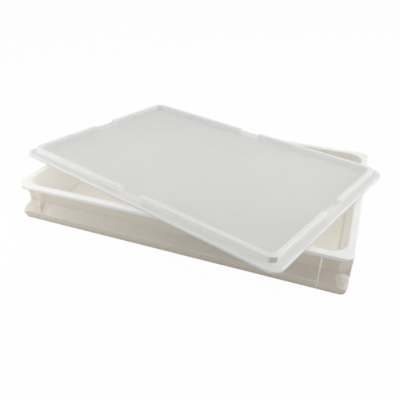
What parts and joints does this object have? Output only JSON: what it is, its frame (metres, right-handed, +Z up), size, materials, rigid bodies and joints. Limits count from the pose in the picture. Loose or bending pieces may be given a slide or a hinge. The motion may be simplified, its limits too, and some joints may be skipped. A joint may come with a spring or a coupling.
{
  "type": "stacking plastic crate",
  "caption": "Low rectangular stacking crate with waisted corner posts and channelled sides, its loose ridged lid lying askew across the rim.",
  "frame": {"origin": "centre of the crate's footprint, on the plane that the underside of its floor stands on", "axes": "+X along the crate's long sides, -Y towards the crate's front, +Z up"},
  "size_m": [0.686, 0.5594, 0.0938],
  "materials": {
    "crate_plastic": "satin moulded polyethylene, warm cream white",
    "lid_plastic": "satin moulded polyethylene, cool translucent white"
  },
  "bodies": {
    "crate_body": {"crate": "crate_plastic"},
    "lid_body": {"lid": "lid_plastic"}
  },
  "joints": [
    {"name": "lid_lift", "type": "slide", "parent": "crate_body", "child": "lid_body", "axis": [0, 0, 1], "range_m": [0, 0.2]}
  ]
}
